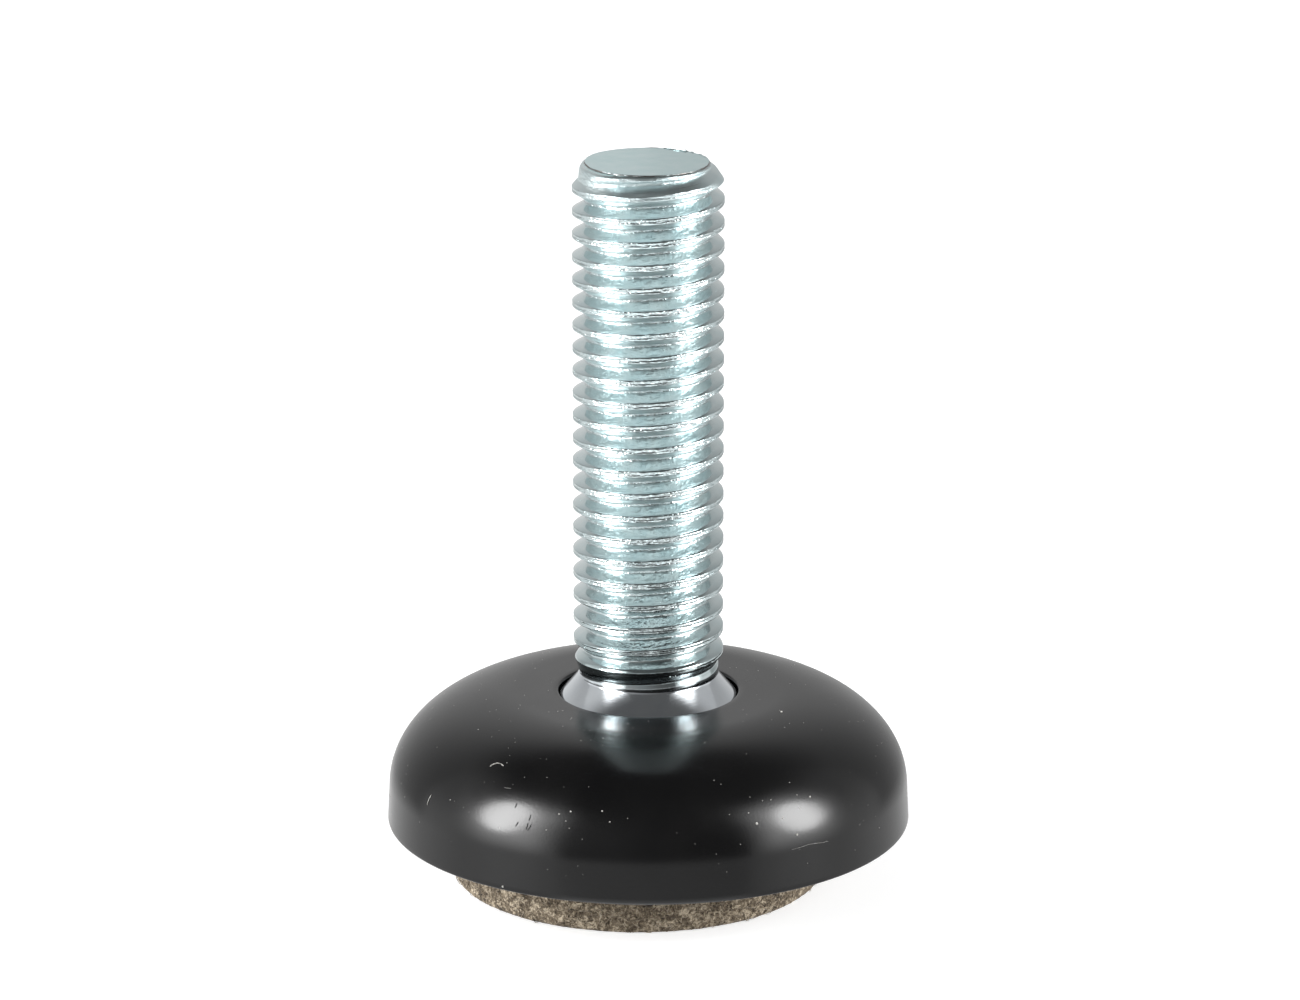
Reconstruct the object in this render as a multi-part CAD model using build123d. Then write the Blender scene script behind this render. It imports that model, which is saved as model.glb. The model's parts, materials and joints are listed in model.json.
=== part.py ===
from build123d import *
import math
import os

# A rigid levelling foot: a steel stud pressed into a crowned plastic base with a felt pad under it.
# Millimetres, +Z up. The origin is on the stud's axis, in the plane that the felt stands on.

# Felt pad
pad_thickness = 5.0
pad_shift = -0.68           # along X: the disc is glued a little off centre
pad_edge_round = 0.25

# Base
base_diameter = 34.3        # at the bottom edge, the widest place
base_height = 8.7           # bottom edge to crown
base_edge_round = 0.15      # bottom edge
side_height = 2.6           # drafted side below the shoulder
side_draft = 3.0            # degrees
crown_flat_width = 2.7      # flat ring round the hole
hole_edge_break = 0.12
recess_depth = 1.2          # the felt sits this deep in the underside
recess_lip = 4.12           # plastic left outside the recess, at the underside
recess_edge_gap = 0.15      # felt to recess wall where they come closest
socket_floor = 1.2          # plastic left between the socket and the recess

# Threaded stud
thread_diameter = 9.78      # M10, over the plated crests
thread_length = 34.2        # cone to end face, neck included
end_chamfer_depth = 0.69    # radial
end_chamfer_length = 1.6
neck_inset = 0.28           # plain neck above the cone, radially below the crests
neck_height = 0.55
runout_height = 0.45        # neck to full crests
collar_overhang = 0.88      # the rim stands this far outside the crests
collar_sink = 0.2           # the rim lies this far below the crown
collar_land = 1.6           # straight part of the collar below its rim
cone_height = 1.35          # rim to neck
collar_edge_break = 0.2

# Serrated shank pressed into the base
shank_inset = 0.5           # tooth tips, inside the thread's crests
tooth_depth = 0.45
tooth_count = 16
lead_in = 0.7               # chamfer at the shank's lower end

# Clearances
collar_gap = 0.13           # ring gap between the collar and the hole
tooth_gap = 0.03            # shank to socket, sideways
shank_end_gap = 0.3         # shank to the bottom of its socket

# Heights
z_base = pad_thickness - recess_depth
z_recess = pad_thickness
z_crown = z_base + base_height
z_rim = z_crown - collar_sink
z_seat = z_rim - collar_land
z_cone = z_rim + cone_height
z_neck = z_cone + neck_height
z_thread = z_neck + runout_height
z_end = z_cone + thread_length
z_socket = z_recess + socket_floor
z_shank = z_socket + shank_end_gap

# Radii
thread_radius = thread_diameter / 2
neck_radius = thread_radius - neck_inset
collar_radius = thread_radius + collar_overhang
hole_radius = collar_radius + collar_gap
tip_radius = thread_radius - shank_inset
base_radius = base_diameter / 2
recess_radius = base_radius - recess_lip
pad_radius = recess_radius - recess_edge_gap - abs(pad_shift)


def serration(gap):
    """Outline of the shank's teeth, or of their socket when it is grown by the gap."""
    half_pitch = 180 / tooth_count
    outline = []
    for index in range(2 * tooth_count):
        depth = tooth_depth * (index % 2)
        angle = math.radians(index * half_pitch)
        radius = tip_radius - depth + gap
        outline.append((radius * math.cos(angle), radius * math.sin(angle)))
    return Polygon(*outline, align=None)


def make_threaded_stud():
    """Turned body with collar, neck and thread, and the serrated shank below the collar."""
    with BuildPart() as stud:
        with BuildSketch(Plane.XZ):
            with BuildLine():
                Polyline(
                    (0, z_seat),
                    (collar_radius - collar_edge_break, z_seat),
                    (collar_radius, z_seat + collar_edge_break),
                    (collar_radius, z_rim),
                    (neck_radius, z_cone),
                    (neck_radius, z_neck),
                    (thread_radius, z_thread),
                    (thread_radius, z_end - end_chamfer_length),
                    (thread_radius - end_chamfer_depth, z_end),
                    (0, z_end),
                    close=True,
                )
            make_face()
        revolve(axis=Axis.Z)

    # The teeth are cut back to a cone at the end that enters the base first.
    with BuildPart() as shank_blank:
        with BuildSketch(Plane.XZ):
            with BuildLine():
                Polyline(
                    (0, z_shank),
                    (tip_radius - lead_in, z_shank),
                    (tip_radius, z_shank + lead_in),
                    (tip_radius, z_seat),
                    (0, z_seat),
                    close=True,
                )
            make_face()
        revolve(axis=Axis.Z)
    teeth = Pos(0, 0, z_shank) * extrude(serration(0), z_seat - z_shank)
    return stud.part + (teeth & shank_blank.part)


def make_base():
    """Drafted side, elliptical shoulder and flat crown, with the collar's hole and the felt's recess."""
    side_top = (base_radius - side_height * math.tan(math.radians(side_draft)), z_base + side_height)
    crown_radius = hole_radius + hole_edge_break + crown_flat_width

    # The shoulder is the ellipse that leaves the drafted side and meets the flat crown tangentially.
    rise = z_crown - side_top[1]
    run = side_top[0] - crown_radius
    lean = math.tan(math.radians(side_draft)) * rise / run
    start_sine = lean / (1 - lean)
    start_angle = math.asin(start_sine)
    shoulder_rise = rise / (1 - start_sine)
    shoulder_run = run / math.cos(start_angle)

    with BuildPart() as base:
        with BuildSketch(Plane.XZ):
            with BuildLine():
                Polyline((0, z_base), (base_radius, z_base), side_top)
                EllipticalCenterArc(
                    center=(crown_radius, z_crown - shoulder_rise),
                    x_radius=shoulder_run,
                    y_radius=shoulder_rise,
                    start_angle=math.degrees(start_angle),
                    arc_size=90 - math.degrees(start_angle),
                )
                Polyline(
                    (crown_radius, z_crown),
                    (hole_radius + hole_edge_break, z_crown),
                    (hole_radius, z_crown - hole_edge_break),
                    (hole_radius, z_seat),
                    (0, z_seat),
                    (0, z_base),
                )
            make_face()
            fillet(vertices().sort_by(Axis.X)[-1], base_edge_round)
        revolve(axis=Axis.Z)
        with BuildSketch(Plane.XY.offset(z_base)):
            Circle(recess_radius)
        extrude(amount=recess_depth, mode=Mode.SUBTRACT)
    socket = Pos(0, 0, z_socket) * extrude(serration(tooth_gap), z_seat - z_socket)
    return base.part - socket


def make_felt_pad():
    """Die-cut disc with slightly worn lower edge."""
    with BuildPart() as pad:
        with BuildSketch(Plane.XY):
            with Locations((pad_shift, 0)):
                Circle(pad_radius)
        extrude(amount=pad_thickness)
        fillet(pad.faces().sort_by(Axis.Z)[0].edges(), pad_edge_round)
    return pad.part


os.makedirs("parts", exist_ok=True)
export_step(make_threaded_stud(), "parts/threaded_stud.step")
export_step(make_base(), "parts/base.step")
export_step(make_felt_pad(), "parts/felt_pad.step")
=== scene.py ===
import json
import math
import random

import bpy
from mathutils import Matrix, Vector, noise


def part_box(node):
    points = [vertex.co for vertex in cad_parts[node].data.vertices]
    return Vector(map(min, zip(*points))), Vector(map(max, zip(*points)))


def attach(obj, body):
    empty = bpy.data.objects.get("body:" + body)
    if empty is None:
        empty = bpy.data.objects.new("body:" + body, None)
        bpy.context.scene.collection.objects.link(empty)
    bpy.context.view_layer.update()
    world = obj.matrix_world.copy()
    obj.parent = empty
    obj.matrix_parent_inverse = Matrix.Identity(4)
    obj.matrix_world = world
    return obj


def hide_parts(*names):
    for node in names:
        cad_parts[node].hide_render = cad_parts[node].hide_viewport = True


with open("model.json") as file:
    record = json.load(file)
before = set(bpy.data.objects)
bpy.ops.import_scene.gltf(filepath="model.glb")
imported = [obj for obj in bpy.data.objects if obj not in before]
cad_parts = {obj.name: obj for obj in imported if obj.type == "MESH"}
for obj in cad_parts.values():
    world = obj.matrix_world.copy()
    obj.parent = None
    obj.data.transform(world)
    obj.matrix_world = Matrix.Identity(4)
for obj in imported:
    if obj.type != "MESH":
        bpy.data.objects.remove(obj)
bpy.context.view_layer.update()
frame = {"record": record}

# Lengths below are in millimetres and angles in degrees, unless a comment says otherwise.
MM = 0.001

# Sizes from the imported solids
stud_low, stud_high = (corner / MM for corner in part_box("threaded_stud"))
base_low, base_high = (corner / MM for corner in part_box("base"))
pad_low, pad_high = (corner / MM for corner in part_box("felt_pad"))
thread_mount = next(mount for mount in frame["record"]["mounts"] if mount["name"] == "thread")
THREAD_RADIUS = thread_mount["dims"]["r_mm"]
COLLAR_RADIUS = stud_high.x
Z_END = stud_high.z
Z_SHANK = stud_low.z
Z_BASE = base_low.z
Z_CROWN = base_high.z

# Thread, M10 x 1.5, right-handed
PITCH = 1.5
CREST_HEIGHT = 45.33            # a crest on the right-hand side of the stud
CREST_FLAT = 0.36
CREST_ROUND = 0.09
SEAM_WIDTH = 0.2                # furrow that rolling leaves along the middle of the crest
SEAM_DEPTH = 0.05
SEAM_SHARE = 0.7                # of that depth on average: the furrow comes and goes
SEAM_LUMPS = (7.0, 0.9)         # how fast it does so, round the stud and along it
WANDER_DEPTH = 0.012            # unevenness of the whole thread
WANDER_LUMPS = (2.2, 1.9)
ROOT_ROUND = 0.17
FLANK_LEAN = 30.0               # each flank, against the plane across the axis
FLANK_SLOPE = math.tan(math.radians(90 - FLANK_LEAN))
PROFILE_STATIONS = (0.0, 0.05, 0.1, 0.135, 0.17, 0.21, 0.4, 0.6028, 0.65, 0.7)  # crest to root
CUT_ROUND = 0.05                # rounding where the taper and the neck cut the thread

# Sheared and tapered end
END_SHIFT = -0.075              # along X: the end was cropped a little off centre
END_RADIUS = (3.98, 4.3)        # end face, at the front and at the back
END_DISH = 0.1                  # the end face lies this far below the highest burr on its edge
END_STEP = 0.09                 # sheared step down from the end face
END_ROUND = 0.3                 # height of the rounding below the step
LEAD_RADIUS = (4.27, 4.5)       # taper that starts the thread: at the sides, and in front or behind
LEAD_SLOPE = (0.17, 0.6)        # its growth for each millimetre down, on the left and on the right
LEAD_END = (0.95, 1.6)          # this far below the step it opens out to the full crests
LEAD_OPENING = 0.6              # and by this much
SHIFT_FULL = 0.4                # the end is fully off centre down to this far below the step
FAINT_DEPTH = 0.5               # share of the first groove's depth on the left
FAINT_END = (1.2, 1.6)          # and where it grows to the full depth
EDGE_LUMPS = (9.0, 7.3)         # unevenness of the end face's edge
EDGE_WOBBLE = 0.05
EDGE_INSET = 0.03
EDGE_BEVEL = 0.015
EDGE_LIFT = 0.01                # the edge's lowest ring lies this far above the step
LIP_ANGLE = 50.0                # a torn lip stands on the edge here, at the back right
LIP_REACH = (45.0, 15.0)        # it starts and is full this far to either side
LIP_SHARE = (0.6, 1.8)          # its height against the dish: on average, and how much it varies
LIP_RINGS = ((0.03, 1.0), (0.05, 1.0), (0.055, 0.9))    # in from the edge, and share of the lip's height
LIP_FOOT = 0.1                  # share of its height at its inner foot
LIP_PHASE = 2.0                 # in radians: its unevenness is taken from another part of the edge's
LIP_WIDTH = 0.06
LIP_SPREAD = 0.4                # a higher lip is wider by this share of its height
FACE_MARGINS = (0.01, 0.05)     # rings on the face just inside the lip
FACE_RINGS = (0.95, 0.75, 0.5, 0.25)    # shares of the edge's radius

# The end's form changes from one side to another over these ranges of the angle's cosine or sine
TO_LEFT = (0.2, 0.9)
TO_RIGHT = (-0.2, 0.8)
TO_FRONT_OR_BACK = (0.3, 0.9)
TO_BACK = (-0.2, 0.8)

# Burrs: places are (angle round the axis, height, size)
BURRS = (
    (287.0, 14.78, 0.07), (289.5, 14.74, 0.05), (291.5, 14.8, 0.05),
    (263.0, 47.5, 0.05), (258.0, 47.42, 0.04), (275.0, 47.46, 0.04),
)
BURR_SINK = 0.3                 # share of its size that a burr is sunk in
NIB_COUNT = 320
NIB_TURNS = 20
NIB_SCATTER = 0.16
NIB_SIZE = (0.02, 0.045)

# Collar, neck and pressed-in shank
NECK_INSET = 0.28
NECK_RADIUS = THREAD_RADIUS - NECK_INSET
NECK_START = 0.02               # the lowest row of the thread's mesh lies this far above the cone
COLLAR_SINK = 0.2
COLLAR_LAND = 1.6
CONE_HEIGHT = 1.35
CONE_HOLLOW = 0.045             # the cone's side dips this far below a straight line
NECK_HEIGHT = 0.55
NECK_UNDERCUT = 0.07
UNDERCUT_HEIGHT = 0.35
RUNOUT_HEIGHT = 0.9
RUNOUT_DEPTH = 0.45             # share of the thread's depth at the neck
RUNOUT_LENGTH = 2.4             # neck to the full depth
RIM_ROUND = 0.07
EDGE_BREAK = 0.2
SHANK_INSET = 0.5
TIP_RADIUS = THREAD_RADIUS - SHANK_INSET
TOOTH_DEPTH = 0.45
TOOTH_COUNT = 16
LEAD_IN = 0.7
Z_RIM = Z_CROWN - COLLAR_SINK
Z_SEAT = Z_RIM - COLLAR_LAND
Z_CONE = Z_RIM + CONE_HEIGHT
Z_FACE = Z_END - END_DISH
Z_STEP = Z_FACE - END_STEP
STUD_SEGMENTS = 168

# Base
BASE_RADIUS = 17.147            # a hair under the solid's, so that the mesh stays inside its box
SIDE_HEIGHT = 2.6
SIDE_DRAFT = math.radians(3.0)  # in radians
CROWN_FLAT = 2.7
COLLAR_GAP = 0.13
HOLE_RADIUS = COLLAR_RADIUS + COLLAR_GAP
HOLE_EDGE = 0.12
RECESS_DEPTH = 1.2
RECESS_LIP = 4.12
SOCKET_FLOOR = 1.2
TOOTH_GAP = 0.03
BASE_EDGE = 0.15
BASE_SEGMENTS = 256
SHOULDER_STEPS = 56

# Felt
PAD_RADIUS = (pad_high.x - pad_low.x) / 2
PAD_SHIFT = (pad_high.x + pad_low.x) / 2
PAD_EDGE = 0.25
PAD_SEGMENTS = 320

# Camera, from the photograph's perspective
CAMERA_LENS = 145.34
CAMERA_SENSOR = 36.0
CAMERA_PLACE = Vector((0.11, -326.49, 120.94))
CAMERA_PITCH = 73.68
CAMERA_CLIP = (10.0, 20000.0)


# Mesh helpers

def make_piece(name, points, faces, material, slot, node=None):
    """Makes a smooth mesh from points in millimetres and rides it on the part's one body."""
    mesh = bpy.data.meshes.new(name)
    mesh.from_pydata([Vector(point) * MM for point in points], [], faces)
    mesh.validate()
    mesh.shade_smooth()
    mesh.materials.append(material)
    piece = bpy.data.objects.new(name, mesh)
    bpy.context.scene.collection.objects.link(piece)
    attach(piece, "root")
    if node:
        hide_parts(node)
    return piece


def smoothstep(low, high, value):
    share = min(1.0, max(0.0, (value - low) / (high - low)))
    return share * share * (3 - 2 * share)


def smooth_min(first, second, width):
    """The smaller of two values, with the corner between them rounded over the width."""
    share = min(1.0, max(0.0, 0.5 + 0.5 * (second - first) / width))
    return second + (first - second) * share - width * share * (1 - share)


def blend(pair, share):
    """Goes from the pair's first value to its second with the share."""
    return pair[0] + (pair[1] - pair[0]) * share


def arc_points(centre, radii, start, end, count):
    """Points on an elliptical arc in the plane of radius and height, both ends included."""
    points = []
    for step in range(count + 1):
        angle = math.radians(start + (end - start) * step / count)
        points.append((centre[0] + radii[0] * math.cos(angle), centre[1] + radii[1] * math.sin(angle)))
    return points


def line_points(start, end, count):
    """Points on a straight run, without its start."""
    return [
        (start[0] + (end[0] - start[0]) * step / count, start[1] + (end[1] - start[1]) * step / count)
        for step in range(1, count + 1)
    ]


def lathe(outline, segments, centre=(0.0, 0.0), shape=None):
    """Turns an outline of (radius, height) about the vertical axis. Points at radius 0 become poles.
    shape(angle, radius, height, row) may return a changed (radius, height)."""
    points = []
    rows = []
    for row, (radius, height) in enumerate(outline):
        count = 1 if radius == 0 else segments
        rows.append(range(len(points), len(points) + count))
        for step in range(count):
            angle = 2 * math.pi * step / segments
            r, z = shape(angle, radius, height, row) if shape and radius else (radius, height)
            points.append((centre[0] + r * math.cos(angle), centre[1] + r * math.sin(angle), z))
    faces = []
    for lower, upper in zip(rows, rows[1:]):
        for step in range(segments):
            after = (step + 1) % segments
            if len(lower) == 1:
                faces.append((lower[0], upper[after], upper[step]))
            elif len(upper) == 1:
                faces.append((lower[step], lower[after], upper[0]))
            else:
                faces.append((lower[step], lower[after], upper[after], upper[step]))
    return points, faces


# Threaded stud

def thread_depth(offset):
    """Depth below the crests at an axial distance from the nearest crest."""
    flank_start = CREST_FLAT / 2
    crest_centre = flank_start - CREST_ROUND * math.tan(math.radians(FLANK_LEAN))
    crest_end = crest_centre + CREST_ROUND * math.sin(math.radians(90 - FLANK_LEAN))
    root_centre_depth = (PITCH / 2 - flank_start) * FLANK_SLOPE - 2 * ROOT_ROUND
    root_reach = ROOT_ROUND * math.cos(math.radians(FLANK_LEAN))
    to_root = PITCH / 2 - offset
    if offset <= crest_centre:
        return 0.0
    if offset <= crest_end:
        return CREST_ROUND - math.sqrt(CREST_ROUND ** 2 - (offset - crest_centre) ** 2)
    if to_root <= root_reach:
        return root_centre_depth + math.sqrt(ROOT_ROUND ** 2 - to_root ** 2)
    return (offset - flank_start) * FLANK_SLOPE


def ring_noise(angle, lumps, along):
    """Noise round the stud. More lumps make it finer, and it changes with the distance along."""
    return noise.noise(Vector((lumps * math.cos(angle), lumps * math.sin(angle), along)))


def stud_radius(angle, height):
    """Radius of the threaded length: the thread, faint and tapered at the end and cut back by the neck."""
    past_crest = (height - CREST_HEIGHT - PITCH * angle / (2 * math.pi)) % PITCH
    offset = min(past_crest, PITCH - past_crest)
    depth = thread_depth(offset)
    if offset < SEAM_WIDTH / 2:
        uneven = ring_noise(angle, SEAM_LUMPS[0], SEAM_LUMPS[1] * height)
        share = 2 * offset / SEAM_WIDTH
        depth += SEAM_DEPTH * max(0.0, SEAM_SHARE + uneven) * (1 - share * share) ** 2

    # Run-out above the neck, and a faint first groove on the left
    z_neck = Z_CONE + NECK_HEIGHT
    depth *= blend((RUNOUT_DEPTH, 1), smoothstep(0.0, RUNOUT_LENGTH, height - z_neck))
    below_end = Z_STEP - height
    faint = smoothstep(*TO_LEFT, -math.cos(angle)) * smoothstep(*reversed(FAINT_END), below_end)
    depth *= blend((1, FAINT_DEPTH), faint)
    wander = ring_noise(angle, WANDER_LUMPS[0], WANDER_LUMPS[1] * height)
    radius = THREAD_RADIUS - depth - WANDER_DEPTH * abs(wander)

    # Taper that starts the thread, rounded over to the end face
    growth = blend(LEAD_SLOPE, smoothstep(*TO_RIGHT, math.cos(angle)))
    start = blend(LEAD_RADIUS, smoothstep(*TO_FRONT_OR_BACK, abs(math.sin(angle))))
    lead = start + growth * below_end + LEAD_OPENING * smoothstep(*LEAD_END, below_end)
    if below_end < END_ROUND:
        face = blend(END_RADIUS, smoothstep(*TO_BACK, math.sin(angle)))
        lead -= (start - face) * (1 - math.sqrt(1 - (1 - max(0.0, below_end) / END_ROUND) ** 2))
    radius = smooth_min(radius, lead, CUT_ROUND)
    radius += END_SHIFT * math.cos(angle) * smoothstep(LEAD_END[1], SHIFT_FULL, below_end)

    # Plain neck above the cone
    neck = NECK_RADIUS + (THREAD_RADIUS - NECK_RADIUS) * max(0.0, height - z_neck) / RUNOUT_HEIGHT
    radius = smooth_min(radius, neck, CUT_ROUND)
    return radius - NECK_UNDERCUT * smoothstep(UNDERCUT_HEIGHT, 0.0, height - Z_CONE)


def thread_stations():
    """Axial distances from one crest to the next at which the thread's profile is drawn."""
    falling = list(PROFILE_STATIONS)
    return falling + [PITCH / 2] + [PITCH - offset for offset in reversed(falling[1:])]


def tooth_radius(angle, gap=0.0):
    """Radius of the shank's serration, which falls from each tip to the root halfway to the next."""
    pitch_angle = 2 * math.pi / TOOTH_COUNT
    share = abs((angle / pitch_angle + 0.5) % 1 - 0.5) * 2
    return TIP_RADIUS + gap - TOOTH_DEPTH * share


def end_wobble(angle):
    """Uneven edge that the cropping of the bar left on the end face."""
    return ring_noise(angle, *EDGE_LUMPS)


def cone_points(start, end, count):
    """Points up the collar's cone, which is slightly hollow, without its start."""
    length = math.hypot(end[0] - start[0], end[1] - start[1])
    inward = ((start[1] - end[1]) / length, (end[0] - start[0]) / length)
    points = []
    for step, (radius, height) in enumerate(line_points(start, end, count), 1):
        dip = 4 * CONE_HOLLOW * (step / count) * (1 - step / count)
        points.append((radius + dip * inward[0], height + dip * inward[1]))
    return points


def add_burrs(mesh):
    """Shards at the stud's ends, and nibs along the crests."""
    chance = random.Random(3)
    places = list(BURRS)
    for _ in range(NIB_COUNT):
        angle = chance.uniform(0, 360)
        turn = chance.randrange(-NIB_TURNS, 1)
        height = CREST_HEIGHT + PITCH * (turn + angle / 360) + chance.gauss(0, NIB_SCATTER)
        places.append((angle, height, chance.uniform(*NIB_SIZE)))
    for angle, height, size in places:
        turn = math.radians(angle)
        across = Vector((math.cos(turn), math.sin(turn), 0))
        centre = across * (stud_radius(turn, height) - BURR_SINK * size) + Vector((0, 0, height))
        add_blob(mesh, centre, across, size)


def collar_outline(angle):
    """Shank, collar and cone at one angle, from the bottom up."""
    tooth = tooth_radius(angle)
    land_low = (COLLAR_RADIUS, Z_SEAT + EDGE_BREAK)
    land_high = (COLLAR_RADIUS, Z_RIM - RIM_ROUND)
    outline = [(min(tooth, TIP_RADIUS - LEAD_IN), Z_SHANK), (tooth, Z_SHANK + LEAD_IN), (tooth, Z_SEAT)]
    outline += [(COLLAR_RADIUS - EDGE_BREAK, Z_SEAT), land_low]
    outline += line_points(land_low, land_high, 4)
    outline += arc_points((COLLAR_RADIUS - RIM_ROUND, land_high[1]), (RIM_ROUND, RIM_ROUND), 10, 48, 4)
    return outline + cone_points(outline[-1], (NECK_RADIUS - NECK_UNDERCUT, Z_CONE), 14)


def end_outline(angle):
    """Sheared step, torn lip and end face at one angle, from the edge inwards."""
    torn = smoothstep(*LIP_REACH, abs(math.degrees(angle) - LIP_ANGLE))
    ragged = torn * (LIP_SHARE[0] + LIP_SHARE[1] * end_wobble(angle + LIP_PHASE))
    lip = END_DISH * max(0.0, min(1.0, ragged))
    edge = stud_radius(angle, Z_STEP) + EDGE_WOBBLE * end_wobble(angle) - EDGE_INSET
    inner = edge - LIP_WIDTH - LIP_SPREAD * lip
    outline = [(edge, Z_STEP + EDGE_LIFT), (edge - EDGE_BEVEL, Z_FACE - EDGE_BEVEL + lip)]
    outline += [(edge - inset, Z_FACE + share * lip) for inset, share in LIP_RINGS]
    outline += [(inner, Z_FACE + LIP_FOOT * lip)]
    outline += [(inner - margin, Z_FACE) for margin in FACE_MARGINS]
    return outline + [(edge * share, Z_FACE) for share in FACE_RINGS]


def make_stud(material):
    """The stud as one mesh: columns of points round the axis, joined along the thread's helix."""
    stations = thread_stations()
    first = Z_CONE - 2 * PITCH - (Z_CONE - CREST_HEIGHT) % PITCH
    turns = math.ceil((Z_END - first) / PITCH) + 2
    z_low = Z_CONE + NECK_START
    points = []
    faces = []

    def add(angle, radius, height):
        points.append((radius * math.cos(angle), radius * math.sin(angle), height))
        return len(points) - 1

    def join(here, there):
        """Faces between two neighbouring columns, leaving out those that shared points close up."""
        for row in range(len(there) - 1):
            corners = list(dict.fromkeys((here[row], there[row], there[row + 1], here[row + 1])))
            if len(corners) > 2:
                faces.append(corners)

    below, spiral, above = [], [], []
    for segment in range(STUD_SEGMENTS):
        angle = 2 * math.pi * segment / STUD_SEGMENTS
        below.append([add(angle, *place) for place in collar_outline(angle)])

        # Helical rows. Rows past either end of the thread share the column's first or last point.
        column = []
        previous = None
        for turn in range(turns):
            for station in stations:
                exact = first + PITCH * (turn + angle / (2 * math.pi)) + station
                height = min(Z_STEP, max(z_low, exact))
                if height == previous:
                    column.append(column[-1])
                else:
                    column.append(add(angle, stud_radius(angle, height), height))
                previous = height
        spiral.append(column)
        above.append([add(angle, *place) for place in end_outline(angle)])
    bottom_pole = add(0, 0, Z_SHANK)
    top_pole = add(0, 0, Z_FACE)

    for segment in range(STUD_SEGMENTS):
        after = (segment + 1) % STUD_SEGMENTS
        shift = len(stations) if after == 0 else 0
        faces.append((bottom_pole, below[after][0], below[segment][0]))
        join(below[segment] + spiral[segment][:1], below[after] + spiral[after][:1])
        join(spiral[segment], spiral[after][shift:])
        join(spiral[segment][-1:] + above[segment], spiral[after][-1:] + above[after])
        faces.append((above[segment][-1], above[after][-1], top_pole))
    add_burrs((points, faces))
    make_piece("threaded_stud_piece", points, faces, material, "zinc_steel", "threaded_stud")


# Base

def base_outline():
    """Section of the base from the collar's seat out over the crown, down the side and in to the recess."""
    side_top = (BASE_RADIUS - SIDE_HEIGHT * math.tan(SIDE_DRAFT), Z_BASE + SIDE_HEIGHT)
    crown_radius = HOLE_RADIUS + HOLE_EDGE + CROWN_FLAT
    rise = Z_CROWN - side_top[1]
    run = side_top[0] - crown_radius
    lean = math.tan(SIDE_DRAFT) * rise / run
    start_sine = lean / (1 - lean)
    start = math.asin(start_sine)
    radii = (run / math.cos(start), rise / (1 - start_sine))
    shoulder = arc_points((crown_radius, Z_CROWN - radii[1]), radii, 90, math.degrees(start), SHOULDER_STEPS)
    recess_radius = BASE_RADIUS - RECESS_LIP
    z_recess = Z_BASE + RECESS_DEPTH
    edge_start = (BASE_RADIUS - BASE_EDGE * math.tan(SIDE_DRAFT), Z_BASE + BASE_EDGE)

    outline = [(HOLE_RADIUS, Z_SEAT)]
    outline += line_points(outline[-1], (HOLE_RADIUS, Z_CROWN - HOLE_EDGE), 4)
    outline += arc_points((HOLE_RADIUS + HOLE_EDGE, Z_CROWN - HOLE_EDGE), (HOLE_EDGE, HOLE_EDGE), 157, 90, 4)
    outline += line_points(outline[-1], (crown_radius, Z_CROWN), 8)
    outline += shoulder[1:]
    outline += line_points(outline[-1], edge_start, 10)
    outline += arc_points((edge_start[0] - BASE_EDGE, edge_start[1]), (BASE_EDGE, BASE_EDGE), -15, -90, 5)
    outline += line_points(outline[-1], (recess_radius, Z_BASE), 6)
    outline += line_points(outline[-1], (recess_radius, z_recess), 3)
    outline += [(recess_radius * 0.5, z_recess), (0, z_recess)]
    return outline


def make_base(material):
    z_socket = Z_BASE + RECESS_DEPTH + SOCKET_FLOOR
    socket = [(TIP_RADIUS, Z_SEAT), (TIP_RADIUS, z_socket), (0, z_socket)]
    outline = list(reversed(base_outline()))
    socket_start = len(outline)

    def shape(angle, radius, height, row):
        return (tooth_radius(angle, TOOTH_GAP) if row >= socket_start else radius), height

    points, faces = lathe(outline + socket, BASE_SEGMENTS, shape=shape)
    make_piece("base_piece", points, faces, material, "black_plastic", "base")


# Marks on the base
# Places are (angle round the axis, distance down the section from the hole's edge), and specks add a radius.
SPECKS = (
    (294.6, 11.82, 0.11), (303.9, 12.99, 0.11), (310.1, 10.87, 0.08), (306.8, 10.54, 0.05),
    (306.3, 11.4, 0.06), (301.1, 11.77, 0.06), (299.6, 10.47, 0.05), (293.2, 11.08, 0.05),
    (252.1, 10.8, 0.08), (259.4, 10.59, 0.08), (261.4, 11.27, 0.07), (249.5, 11.05, 0.08),
    (247.2, 12.17, 0.05), (251.4, 11.44, 0.04), (331.3, 3.8, 0.1), (219.8, 11.82, 0.05),
    (237.5, 16.33, 0.1),
)
LINT = (
    ((226.0, 8.86), (226.4, 8.64), (227.3, 8.46), (228.5, 8.43), (229.8, 8.54)),
    ((212.9, 12.04), (212.6, 12.31), (212.5, 12.61), (212.6, 12.78)),
)
SCRATCHES = (
    ((233.4, 9.98), (235.6, 9.94)),
    ((302.2, 13.86), (304.4, 13.86), (306.6, 13.78), (310.3, 13.91), (312.2, 13.97)),
)
SCUFFS = (
    ((240.2, 11.95), (239.7, 12.27)), ((242.8, 11.38), (242.7, 11.78)), ((242.6, 11.89), (242.4, 12.37)),
    ((243.5, 11.94), (242.8, 12.4)), ((238.4, 11.13), (238.5, 10.79)),
)
SPECK_SCALE = 0.8               # the photo's blur makes the specks look wider than they are
FINE_SPECKS = 260
FINE_SPECK_REACH = (0.3, 15.5)
FINE_SPECK_RADIUS = (0.012, 0.03)
LINT_LIFT = 0.02
LINT_RADIUS = 0.032
SCRATCH_RADIUS = 0.008
SCUFF_RADIUS = 0.05
BLOB_SIDES = 6
BLOB_RINGS = ((1.0, 0.0), (0.75, 0.6))      # shares of a speck's radius: width, and height above the surface
BLOB_TOP = 0.9
STRAND_TIP = 0.45               # share of a strand's thickness at its ends
PATH_STEPS = 3


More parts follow.
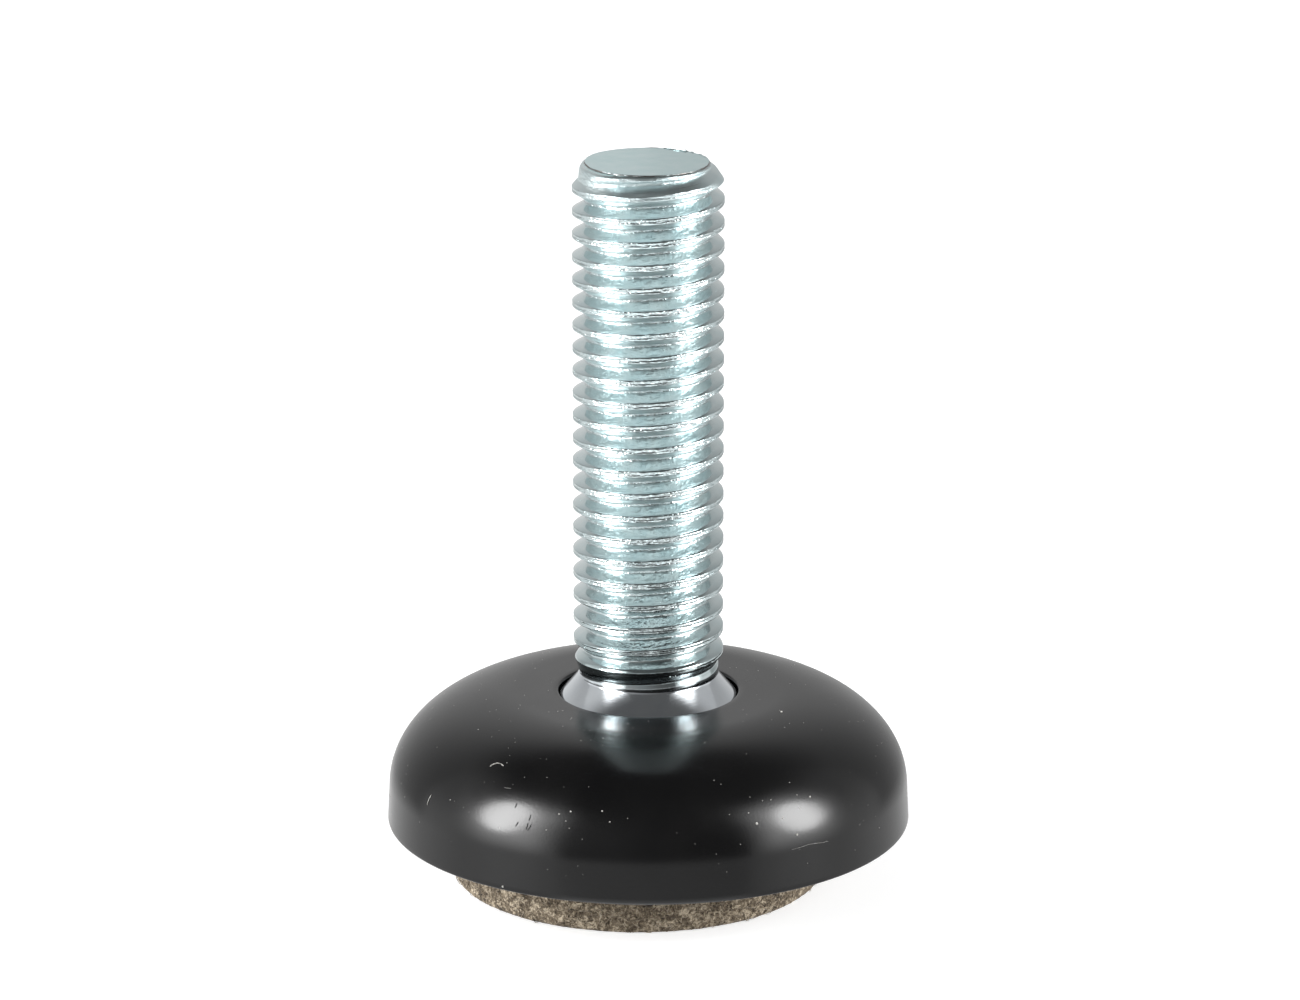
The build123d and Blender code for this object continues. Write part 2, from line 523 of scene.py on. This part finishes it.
def base_place(angle, distance):
    """Point and outward normal on the base, from its place in degrees and millimetres."""
    section = [point for point in base_outline() if point[0] >= HOLE_RADIUS + HOLE_EDGE]
    for start, end in zip(section, section[1:]):
        length = math.hypot(end[0] - start[0], end[1] - start[1])
        if distance <= length:
            break
        distance -= length
    share = distance / length
    radius = start[0] + (end[0] - start[0]) * share
    height = start[1] + (end[1] - start[1]) * share
    across = Vector((math.cos(math.radians(angle)), math.sin(math.radians(angle)), 0))
    normal = across * (start[1] - end[1]) / length + Vector((0, 0, (end[0] - start[0]) / length))
    return across * radius + Vector((0, 0, height)), normal


def add_blob(mesh, centre, normal, radius):
    """A small rounded speck that sits on a surface."""
    points, faces = mesh
    side = normal.orthogonal().normalized()
    other = normal.cross(side)
    first = len(points)
    for share, lift in BLOB_RINGS:
        for step in range(BLOB_SIDES):
            turn = math.radians(360 * step / BLOB_SIDES)
            outwards = side * math.cos(turn) + other * math.sin(turn)
            points.append(centre + outwards * radius * share + normal * radius * lift)
    points.append(centre + normal * radius * BLOB_TOP)
    second = first + BLOB_SIDES
    for step in range(BLOB_SIDES):
        after = (step + 1) % BLOB_SIDES
        faces.append((first + step, first + after, second + after, second + step))
        faces.append((second + step, second + after, second + BLOB_SIDES))
    faces.append(tuple(first + step for step in reversed(range(BLOB_SIDES))))


def add_strand(mesh, path, radius, sides=4):
    """A thin closed tube along a path, tapered at both ends."""
    points, faces = mesh
    first = len(points)
    last = len(path) - 1
    for index, place in enumerate(path):
        along = (path[min(last, index + 1)] - path[max(0, index - 1)]).normalized()
        side = along.orthogonal().normalized()
        other = along.cross(side)
        girth = radius * (STRAND_TIP if index in (0, last) else 1.0)
        for step in range(sides):
            turn = 2 * math.pi * step / sides
            points.append(place + (side * math.cos(turn) + other * math.sin(turn)) * girth)
    for index in range(last):
        for step in range(sides):
            after = (step + 1) % sides
            row = first + index * sides
            faces.append((row + step, row + after, row + sides + after, row + sides + step))
    faces.append(tuple(first + step for step in reversed(range(sides))))
    faces.append(tuple(first + last * sides + step for step in range(sides)))


def surface_path(places, lift):
    """Points along a mark, set off the base by the lift, with extra points between the given ones."""
    path = []
    for start, end in zip(places, places[1:]):
        for step in range(PATH_STEPS):
            share = step / PATH_STEPS
            point, normal = base_place(*(blend(pair, share) for pair in zip(start, end)))
            path.append(point + normal * lift)
    point, normal = base_place(*places[-1])
    return path + [point + normal * lift]


def make_marks(dust, plastic):
    chance = random.Random(11)
    specks = ([], [])
    for angle, distance, radius in SPECKS:
        add_blob(specks, *base_place(angle, distance), SPECK_SCALE * radius)
    for _ in range(FINE_SPECKS):
        place = base_place(chance.uniform(0, 360), chance.uniform(*FINE_SPECK_REACH))
        add_blob(specks, *place, chance.uniform(*FINE_SPECK_RADIUS))
    for places in LINT:
        add_strand(specks, surface_path(places, LINT_LIFT), LINT_RADIUS)
    for places in SCRATCHES:
        add_strand(specks, surface_path(places, 0.0), SCRATCH_RADIUS)
    make_piece("base_dust", *specks, dust, "black_plastic")
    scuffs = ([], [])
    for places in SCUFFS:
        add_strand(scuffs, surface_path(places, 0.0), SCUFF_RADIUS)
    make_piece("base_scuffs", *scuffs, plastic, "black_plastic")


# Felt

# Unevenness of the side: (lumps for each millimetre, depth)
FELT_INSET = 0.05
FELT_WAVES = (0.55, 0.04)
FELT_TUFTS = (2.6, 0.06)
FELT_GRAIN = (6.5, 0.06)
FIBRE_COUNT = 1700
FIBRE_LENGTH = (0.4, 1.3)
FIBRE_TILT = 0.7                # spread of their slope, in radians
FIBRE_CURL = 0.35
FIBRE_CENTRE = 0.08             # share of the curl that keeps a fibre over its middle
FIBRE_STEPS = 4
FIBRE_SIDES = 3
FIBRE_LIFT = 0.09
FIBRE_RADIUS = (0.016, 0.032)
FIBRE_HEIGHT = (0.1, Z_BASE - 0.15)
FIBRE_LIMITS = (pad_low.z + 0.04, Z_BASE - 0.06)


def felt_inset(angle, height):
    """How far the felt's uneven side lies inside its full radius."""
    place = Vector((PAD_RADIUS * math.cos(angle), PAD_RADIUS * math.sin(angle), height))
    waves = FELT_WAVES[1] * noise.noise(place * FELT_WAVES[0])
    tufts = FELT_TUFTS[1] * abs(noise.noise(place * FELT_TUFTS[0]))
    grain = FELT_GRAIN[1] * abs(noise.noise(place * FELT_GRAIN[0]))
    return FELT_INSET + waves + tufts + grain


def make_felt(material):
    flat = PAD_RADIUS - PAD_EDGE
    outline = [(0, pad_low.z), (PAD_RADIUS * 0.6, pad_low.z), (PAD_RADIUS * 0.9, pad_low.z)]
    outline += line_points(outline[-1], (flat, pad_low.z), 3)
    outline += arc_points((flat, pad_low.z + PAD_EDGE), (PAD_EDGE, PAD_EDGE), -75, 0, 5)
    outline += line_points(outline[-1], (PAD_RADIUS, pad_high.z), 34)
    outline += [(PAD_RADIUS * 0.97, pad_high.z), (PAD_RADIUS * 0.5, pad_high.z), (0, pad_high.z)]

    def shape(angle, radius, height, row):
        if radius < flat:
            return radius, height
        return radius - felt_inset(angle, height), height

    points, faces = lathe(outline, PAD_SEGMENTS, centre=(PAD_SHIFT, 0), shape=shape)
    piece = make_piece("felt_pad_piece", points, faces, material, "felt", "felt_pad")


def make_fibres(material):
    """Loose ends of wool on the felt's cut side."""
    chance = random.Random(5)
    fibres = ([], [])
    for _ in range(FIBRE_COUNT):
        angle = chance.uniform(0, 2 * math.pi)
        height = chance.uniform(*FIBRE_HEIGHT)
        tilt = chance.gauss(0, FIBRE_TILT)
        length = chance.uniform(*FIBRE_LENGTH)
        curl = chance.uniform(-FIBRE_CURL, FIBRE_CURL)
        lift = chance.uniform(0.0, FIBRE_LIFT)
        radius = chance.uniform(*FIBRE_RADIUS)
        path = []
        for step in range(FIBRE_STEPS + 1):
            share = step / FIBRE_STEPS - 0.5
            bend = curl * (share * share - FIBRE_CENTRE)
            turn = angle + (length * share * math.cos(tilt) - bend * math.sin(tilt)) / PAD_RADIUS
            z = height + length * share * math.sin(tilt) + bend * math.cos(tilt)
            z = min(FIBRE_LIMITS[1], max(FIBRE_LIMITS[0], z))
            out = PAD_RADIUS - felt_inset(turn, z) + lift * (1 - 4 * share * share)
            path.append(Vector((PAD_SHIFT + out * math.cos(turn), out * math.sin(turn), z)))
        add_strand(fibres, path, radius, FIBRE_SIDES)
    make_piece("felt_fibres", *fibres, material, "felt")


# Materials

# Colours, as stops of (noise value, colour)
ZINC = ((0.3, (0.545, 0.645, 0.66)), (0.7, (0.61, 0.685, 0.69)))
BARE_ZINC = ((0.3, (0.73, 0.77, 0.81)), (0.7, (0.78, 0.82, 0.85)))
BLUE_ZINC = ((0.3, (0.45, 0.64, 0.65)), (0.7, (0.52, 0.68, 0.69)))
# A little dirt and painted shade, for the dark ragged crease along the end's edge
SOIL_AND_SHADE = ((0.3, (0.1, 0.1, 0.1)), (0.7, (0.2, 0.19, 0.18)))
BLACK = ((0.3, (0.0018, 0.0018, 0.002)), (0.7, (0.003, 0.003, 0.0031)))
DUST = ((0.3, (0.3, 0.29, 0.27)), (0.7, (0.6, 0.59, 0.56)))
FELT_WOOL = ((0.38, (0.035, 0.025, 0.017)), (0.5, (0.205, 0.162, 0.111)), (0.61, (0.66, 0.56, 0.42)))
FIBRE_WOOL = ((0.34, (0.1, 0.075, 0.05)), (0.5, (0.36, 0.29, 0.21)), (0.62, (0.72, 0.63, 0.5)))

# Heights on the stud, in metres, between which its finish changes
BARE_BELOW = (Z_CONE * MM, (Z_CONE + NECK_HEIGHT) * MM)
TORN_FROM = ((Z_CONE + NECK_HEIGHT) * MM, (Z_CONE + 5 * PITCH) * MM)
TORN_UNDER_FROM = ((Z_CONE + 2 * PITCH) * MM, (Z_CONE + 8 * PITCH) * MM)
SHEARED_FROM = ((Z_END - 2.0) * MM, (Z_END - 1.3) * MM)
# The dark ring of dirt and painted shade at the end's edge lies between these
SOIL_AND_SHADE_FROM = ((Z_FACE - 1.3 * END_STEP) * MM, (Z_FACE - 0.9 * END_STEP) * MM)
SOIL_AND_SHADE_TO = (Z_FACE * MM, (Z_END - 0.8 * END_DISH) * MM)

# The zinc's finish: roughness, and sizes in its noise
POLISH = 0.11
WORN_ROUGHNESS = (0.05, 0.18)
UNDER_ROUGHNESS = 0.22
SHEARED_ROUGHNESS = 0.2
LINE_SIZE = 0.16
LINE_STRETCH = 0.2              # the lines are five times as long as wide
CLOUD_SIZE = 1.4
GRAIN_SIZE = 0.2
NIB_SPACING = 0.36
BUMP_DEPTH = 0.03

# The plastic's and the wool's
PLASTIC_ROUGHNESS = (0.17, 0.25)
PLASTIC_CLOUD = 5.0
PLASTIC_GRAIN = 0.14
PLASTIC_BUMP = 0.003
MOTTLE_SIZE = 0.8
MOTTLE_SHARE = 0.35             # the fibres have the rest
FIBRE_SIZE = 0.3
WOOL_BUMP = 0.12
DUST_SIZE = 0.4


def new_material(name):
    material = bpy.data.materials.new(name)
    material.use_nodes = True
    return material, material.node_tree, material.node_tree.nodes["Principled BSDF"]


def add_node(tree, kind, inputs=(), **settings):
    """Adds a shader node. Inputs are (socket, value) pairs, where a value may be another node's output."""
    node = tree.nodes.new(kind)
    for name, value in settings.items():
        setattr(node, name, value)
    for name, value in inputs:
        if isinstance(value, bpy.types.NodeSocket):
            tree.links.new(value, node.inputs[name])
        else:
            node.inputs[name].default_value = value
    return node


def noise_value(tree, vector, size, detail=2.0, roughness=0.5, distortion=0.0):
    """Noise whose lumps measure about the given size in millimetres."""
    inputs = [("Vector", vector), ("Scale", 1 / (size * MM)), ("Detail", detail)]
    inputs += [("Roughness", roughness), ("Distortion", distortion)]
    return add_node(tree, "ShaderNodeTexNoise", inputs).outputs["Fac"]


def ramp(tree, value, stops):
    """Colour ramp from (position, colour) stops."""
    node = add_node(tree, "ShaderNodeValToRGB", [("Fac", value)])
    elements = node.color_ramp.elements
    while len(elements) < len(stops):
        elements.new(0.5)
    for element, (position, colour) in zip(elements, stops):
        element.position = position
        element.color = (*colour, 1.0)
    return node.outputs["Color"]


def span(tree, value, low, high, from_low=0.0, from_high=1.0):
    """Maps a value's range onto another."""
    inputs = [("Value", value), ("From Min", from_low), ("From Max", from_high)]
    inputs += [("To Min", low), ("To Max", high)]
    return add_node(tree, "ShaderNodeMapRange", inputs).outputs["Result"]


def math_node(tree, operation, first, second=0.0):
    return add_node(tree, "ShaderNodeMath", [(0, first), (1, second)], operation=operation).outputs[0]


def product(tree, first, second):
    return math_node(tree, "MULTIPLY", first, second)


def total(tree, first, second):
    return math_node(tree, "ADD", first, second)


def bump(tree, height, distance, normal=None):
    """Bump of the given depth in millimetres."""
    inputs = [("Height", height), ("Distance", distance * MM)]
    if normal is not None:
        inputs.append(("Normal", normal))
    return add_node(tree, "ShaderNodeBump", inputs).outputs["Normal"]


def mix(tree, factor, first, second):
    """Colour that goes from the first to the second with the factor."""
    node = add_node(tree, "ShaderNodeMix", data_type="RGBA")
    for name, value in (("Factor", factor), ("A", first), ("B", second)):
        socket = next(socket for socket in node.inputs if socket.name == name and socket.enabled)
        tree.links.new(value, socket)
    return next(socket for socket in node.outputs if socket.enabled)


def object_place(tree):
    return add_node(tree, "ShaderNodeTexCoord").outputs["Object"]


def make_zinc():
    """Bright zinc plate over a rolled thread, rough on its crests and lower flanks, with bright nibs."""
    material, tree, shader = new_material("zinc_plate")
    place = object_place(tree)
    split = add_node(tree, "ShaderNodeSeparateXYZ", [("Vector", place)]).outputs
    z = split["Z"]
    facing = add_node(tree, "ShaderNodeNewGeometry").outputs["Normal"]
    upward = add_node(tree, "ShaderNodeSeparateXYZ", [("Vector", facing)]).outputs["Z"]

    # Noise: lines along the thread, clouds in the plating and fine grain
    ahead = product(tree, split["Y"], -1.0)
    around = product(tree, math_node(tree, "ARCTAN2", split["X"], ahead), THREAD_RADIUS * MM)
    stretched = product(tree, around, LINE_STRETCH)
    rolled = add_node(tree, "ShaderNodeCombineXYZ", [("X", stretched), ("Z", z)]).outputs["Vector"]
    lines = noise_value(tree, rolled, LINE_SIZE)
    cloud = noise_value(tree, place, CLOUD_SIZE, 3.0)
    grain = noise_value(tree, place, GRAIN_SIZE, 3.0)

    # Colour: bare up to the neck, a dark ring at the sheared step that is a little dirt and painted shade in
    # the crease under the end's edge, bluer on faces that look up
    bare = span(tree, z, 1.0, 0.0, *BARE_BELOW)
    tint = mix(tree, bare, ramp(tree, cloud, ZINC), ramp(tree, cloud, BARE_ZINC))
    soil_and_shade = product(tree, span(tree, z, 0.0, 1.0, *SOIL_AND_SHADE_FROM), span(tree, cloud, 0.5, 1.0, 0.4, 0.6))
    soil_and_shade = product(tree, soil_and_shade, span(tree, z, 1.0, 0.0, *SOIL_AND_SHADE_TO))
    tint = mix(tree, soil_and_shade, tint, ramp(tree, cloud, SOIL_AND_SHADE))
    tint = mix(tree, span(tree, upward, 0.0, 1.0, 0.9, 0.98), tint, ramp(tree, cloud, BLUE_ZINC))
    tree.links.new(tint, shader.inputs["Base Color"])
    shader.inputs["Metallic"].default_value = 1.0

    # Roughness: more where the crests are torn, under the flanks and at the sheared end
    above_neck = span(tree, z, 0.06, 1.0, *TORN_FROM)
    torn = product(tree, span(tree, upward, 1.0, 0.0, 0.3, 0.85), above_neck)
    worn = product(tree, torn, span(tree, lines, *WORN_ROUGHNESS, 0.3, 0.7))
    under = span(tree, upward, UNDER_ROUGHNESS, 0.0, -0.7, -0.2)
    under = product(tree, under, span(tree, z, 0.0, 1.0, *TORN_UNDER_FROM))
    sheared = span(tree, z, 0.0, SHEARED_ROUGHNESS, *SHEARED_FROM)
    sheared = product(tree, sheared, span(tree, upward, 1.0, 0.0, 0.85, 0.95))
    rough = total(tree, total(tree, worn, under), total(tree, sheared, POLISH))
    tree.links.new(rough, shader.inputs["Roughness"])

    # Relief: ragged lines and nibs on the torn parts
    inputs = [("Vector", place), ("Scale", 1 / (NIB_SPACING * MM))]
    cells = add_node(tree, "ShaderNodeTexVoronoi", inputs).outputs["Distance"]
    nibs = product(tree, span(tree, cells, 0.8, 0.0, 0.04, 0.16), torn)
    ragged = total(tree, product(tree, lines, 4.0), product(tree, grain, 1.5))
    relief = total(tree, product(tree, ragged, torn), nibs)
    tree.links.new(bump(tree, relief, BUMP_DEPTH), shader.inputs["Normal"])
    return material


def make_plastic():
    """Satin moulded plastic with a faint handled sheen."""
    material, tree, shader = new_material("black_plastic")
    place = object_place(tree)
    cloud = noise_value(tree, place, PLASTIC_CLOUD, 5.0)
    grain = noise_value(tree, place, PLASTIC_GRAIN, 3.0)
    tree.links.new(ramp(tree, cloud, BLACK), shader.inputs["Base Color"])
    shader.inputs["Specular IOR Level"].default_value = 0.45
    tree.links.new(span(tree, cloud, *PLASTIC_ROUGHNESS, 0.3, 0.7), shader.inputs["Roughness"])
    tree.links.new(bump(tree, grain, PLASTIC_BUMP), shader.inputs["Normal"])
    return material


def make_wool(name, stops):
    """Compressed wool: matted light and dark fibres, in colours from dark to light."""
    material, tree, shader = new_material(name)
    place = object_place(tree)
    mottle = noise_value(tree, place, MOTTLE_SIZE, 4.0, 0.6)
    fibres = noise_value(tree, place, FIBRE_SIZE, 4.0, 0.65, 1.2)
    mixed = total(tree, product(tree, mottle, MOTTLE_SHARE), product(tree, fibres, 1 - MOTTLE_SHARE))
    tree.links.new(ramp(tree, mixed, stops), shader.inputs["Base Color"])
    shader.inputs["Roughness"].default_value = 0.95
    shader.inputs["Specular IOR Level"].default_value = 0.2
    shader.inputs["Sheen Weight"].default_value = 0.2
    shader.inputs["Sheen Roughness"].default_value = 0.5
    coarse = bump(tree, mottle, WOOL_BUMP)
    tree.links.new(bump(tree, fibres, WOOL_BUMP, normal=coarse), shader.inputs["Normal"])
    return material


def make_dust():
    """Pale dust and lint."""
    material, tree, shader = new_material("pale_dust")
    cloud = noise_value(tree, object_place(tree), DUST_SIZE)
    tree.links.new(ramp(tree, cloud, DUST), shader.inputs["Base Color"])
    shader.inputs["Roughness"].default_value = 0.85
    return material


# Stage

# Lamps: name, azimuth, elevation, width and height in degrees as seen from the part, and power in watts
LAMPS = (
    ("lamp_left", -69.5, 24.0, 22.0, 36.0, 2.1),
    ("lamp_right", 73.0, 21.0, 22.0, 34.0, 1.95),
)
LAMP_DISTANCE = 500.0
LAMP_AIM = 20.0                 # height that the lamps point at
FLOOR_REACH = 1600.0
FLOOR_SHADE = 0.6
FLOOR_LIFT = 0.62               # added to what the camera sees of the floor

# Surroundings, as strengths of light. Ranges are angles turned from the front, or raised from level.
ROOM_LEVEL = 0.1
PANEL_TURN = 2.5                # the panels stand this far round to the right
TABLE_SIDE = (41, 43)           # the lit table in front ends here, and the panels begin
TABLE_TOP = (-42, -3)
TABLE_LEVEL = 2.25
PANEL_SIDE = (116, 119)         # the panels end here, and the wall behind begins
PANEL_RISE = (-6, 30)
PANEL_LEVEL = (0.9, 0.48)
PANEL_TOP = (36, 60)
GLOW_START = (42, 58)           # the bright middle of each panel
GLOW_END = (72, 94)
GLOW_RISE = (-20, 14)
GLOW_TOP = (36, 54)
GLOW_LEVEL = 4.4
WALL_TURN = (124, 168)
WALL_LEVEL = (0.34, 0.64)
WALL_TOP = (38, 58)
GROUND_TOP = (-20, 4)           # the ground behind
GROUND_LEVEL = 0.9
LEFT_TO_RIGHT = (-40, 40)       # panels and wall are dimmer on the right
SIDE_LEVEL = (1.0, 0.82)
HAZE_TURN = (-40, 30)           # a little light from the upper front, on the left
HAZE_SIDE = (40, 50)
HAZE_TOP = (20, 60)
HAZE_LEVEL = 0.2


def direction(azimuth, elevation):
    """Unit vector. Azimuth 0 points from the part to the camera's side, and 90 to the right."""
    a, e = math.radians(azimuth), math.radians(elevation)
    return Vector((math.sin(a) * math.cos(e), -math.cos(a) * math.cos(e), math.sin(e)))


def make_lamps():
    centre = Vector((0, 0, LAMP_AIM * MM))
    distance = LAMP_DISTANCE * MM
    for name, azimuth, elevation, width, height, power in LAMPS:
        data = bpy.data.lights.new(name, "AREA")
        data.shape = "ELLIPSE"
        data.size = 2 * distance * math.tan(math.radians(width / 2))
        data.size_y = 2 * distance * math.tan(math.radians(height / 2))
        data.energy = power
        lamp = bpy.data.objects.new(name, data)
        towards = direction(azimuth, elevation)
        lamp.location = centre + towards * distance
        lamp.rotation_euler = towards.to_track_quat("Z", "Y").to_euler()
        lamp.visible_camera = False
        bpy.context.scene.collection.objects.link(lamp)


def make_world():
    """A dark room with a lit table in front, bright panels at both sides and a pale wall behind.
    The camera sees plain white instead."""
    world = bpy.data.worlds.new("surroundings")
    world.use_nodes = True
    bpy.context.scene.world = world
    tree = world.node_tree
    background = tree.nodes["Background"]
    background.inputs["Color"].default_value = (1, 1, 1, 1)
    towards = add_node(tree, "ShaderNodeTexCoord").outputs["Generated"]
    split = add_node(tree, "ShaderNodeSeparateXYZ", [("Vector", towards)]).outputs
    azimuth = math_node(tree, "ARCTAN2", split["X"], product(tree, split["Y"], -1.0))
    turned = math_node(tree, "ABSOLUTE", math_node(tree, "SUBTRACT", azimuth, math.radians(PANEL_TURN)))
    elevation = math_node(tree, "ARCSINE", split["Z"])

    def between(value, angles, levels=(0.0, 1.0)):
        """Eases from the first level at the first angle to the second at the second."""
        low, high = (math.radians(angle) for angle in angles)
        inputs = [("Value", value), ("From Min", low), ("From Max", high)]
        inputs += [("To Min", levels[0]), ("To Max", levels[1])]
        return add_node(tree, "ShaderNodeMapRange", inputs, interpolation_type="SMOOTHSTEP").outputs["Result"]

    def fading(value, angles, level=1.0):
        return between(value, angles, (level, 0.0))

    table = product(tree, fading(turned, TABLE_SIDE), fading(elevation, TABLE_TOP, TABLE_LEVEL))
    across = product(tree, between(turned, GLOW_START), fading(turned, GLOW_END))
    upwards = product(tree, between(elevation, GLOW_RISE), fading(elevation, GLOW_TOP))
    glow = product(tree, product(tree, across, upwards), GLOW_LEVEL)
    plain = product(tree, between(elevation, PANEL_RISE, PANEL_LEVEL), fading(elevation, PANEL_TOP))
    width = product(tree, between(turned, TABLE_SIDE), fading(turned, PANEL_SIDE))
    panels = product(tree, width, total(tree, plain, glow))
    wall = product(tree, between(turned, WALL_TURN, WALL_LEVEL), fading(elevation, WALL_TOP))
    behind = math_node(tree, "MAXIMUM", wall, fading(elevation, GROUND_TOP, GROUND_LEVEL))
    behind = product(tree, between(turned, PANEL_SIDE), behind)
    beside = product(tree, between(azimuth, LEFT_TO_RIGHT, SIDE_LEVEL), total(tree, panels, behind))
    haze = product(tree, fading(azimuth, HAZE_TURN, HAZE_LEVEL), fading(elevation, HAZE_TOP))
    room = total(tree, product(tree, fading(turned, HAZE_SIDE), haze), ROOM_LEVEL)
    level = total(tree, total(tree, table, beside), room)
    camera_ray = add_node(tree, "ShaderNodeLightPath").outputs["Is Camera Ray"]
    tree.links.new(span(tree, camera_ray, level, 1.0), background.inputs["Strength"])


def make_floor():
    """White floor. What the camera sees of it is lifted towards white, and keeps the part's shadow.
    What mirrors in the part is the lit table of the surroundings instead."""
    mesh = bpy.data.meshes.new("floor")
    reach = FLOOR_REACH * MM
    corners = [(-reach, -reach, 0), (reach, -reach, 0), (reach, reach, 0), (-reach, reach, 0)]
    mesh.from_pydata(corners, [], [(0, 1, 2, 3)])
    floor = bpy.data.objects.new("floor", mesh)
    bpy.context.scene.collection.objects.link(floor)
    floor.visible_glossy = False
    material, tree, shader = new_material("floor_white")
    shader.inputs["Base Color"].default_value = (FLOOR_SHADE, FLOOR_SHADE, FLOOR_SHADE, 1)
    shader.inputs["Roughness"].default_value = 0.9
    shader.inputs["Specular IOR Level"].default_value = 0.0
    shader.inputs["Emission Color"].default_value = (1, 1, 1, 1)
    camera_ray = add_node(tree, "ShaderNodeLightPath").outputs["Is Camera Ray"]
    tree.links.new(product(tree, camera_ray, FLOOR_LIFT), shader.inputs["Emission Strength"])
    mesh.materials.append(material)


def make_camera():
    data = bpy.data.cameras.new("camera")
    data.lens = CAMERA_LENS
    data.sensor_fit = "HORIZONTAL"
    data.sensor_width = CAMERA_SENSOR
    data.clip_start = CAMERA_CLIP[0] * MM
    data.clip_end = CAMERA_CLIP[1] * MM
    camera = bpy.data.objects.new("camera", data)
    camera.location = CAMERA_PLACE * MM
    camera.rotation_euler = (math.radians(CAMERA_PITCH), 0, 0)
    bpy.context.scene.collection.objects.link(camera)
    bpy.context.scene.camera = camera


bpy.context.scene.view_settings.view_transform = "Standard"
make_camera()
make_world()
make_lamps()
make_floor()
make_stud(make_zinc())
plastic = make_plastic()
make_base(plastic)
make_marks(make_dust(), plastic)
make_felt(make_wool("wool_felt", FELT_WOOL))
make_fibres(make_wool("wool_fibres", FIBRE_WOOL))

bpy.context.view_layer.update()
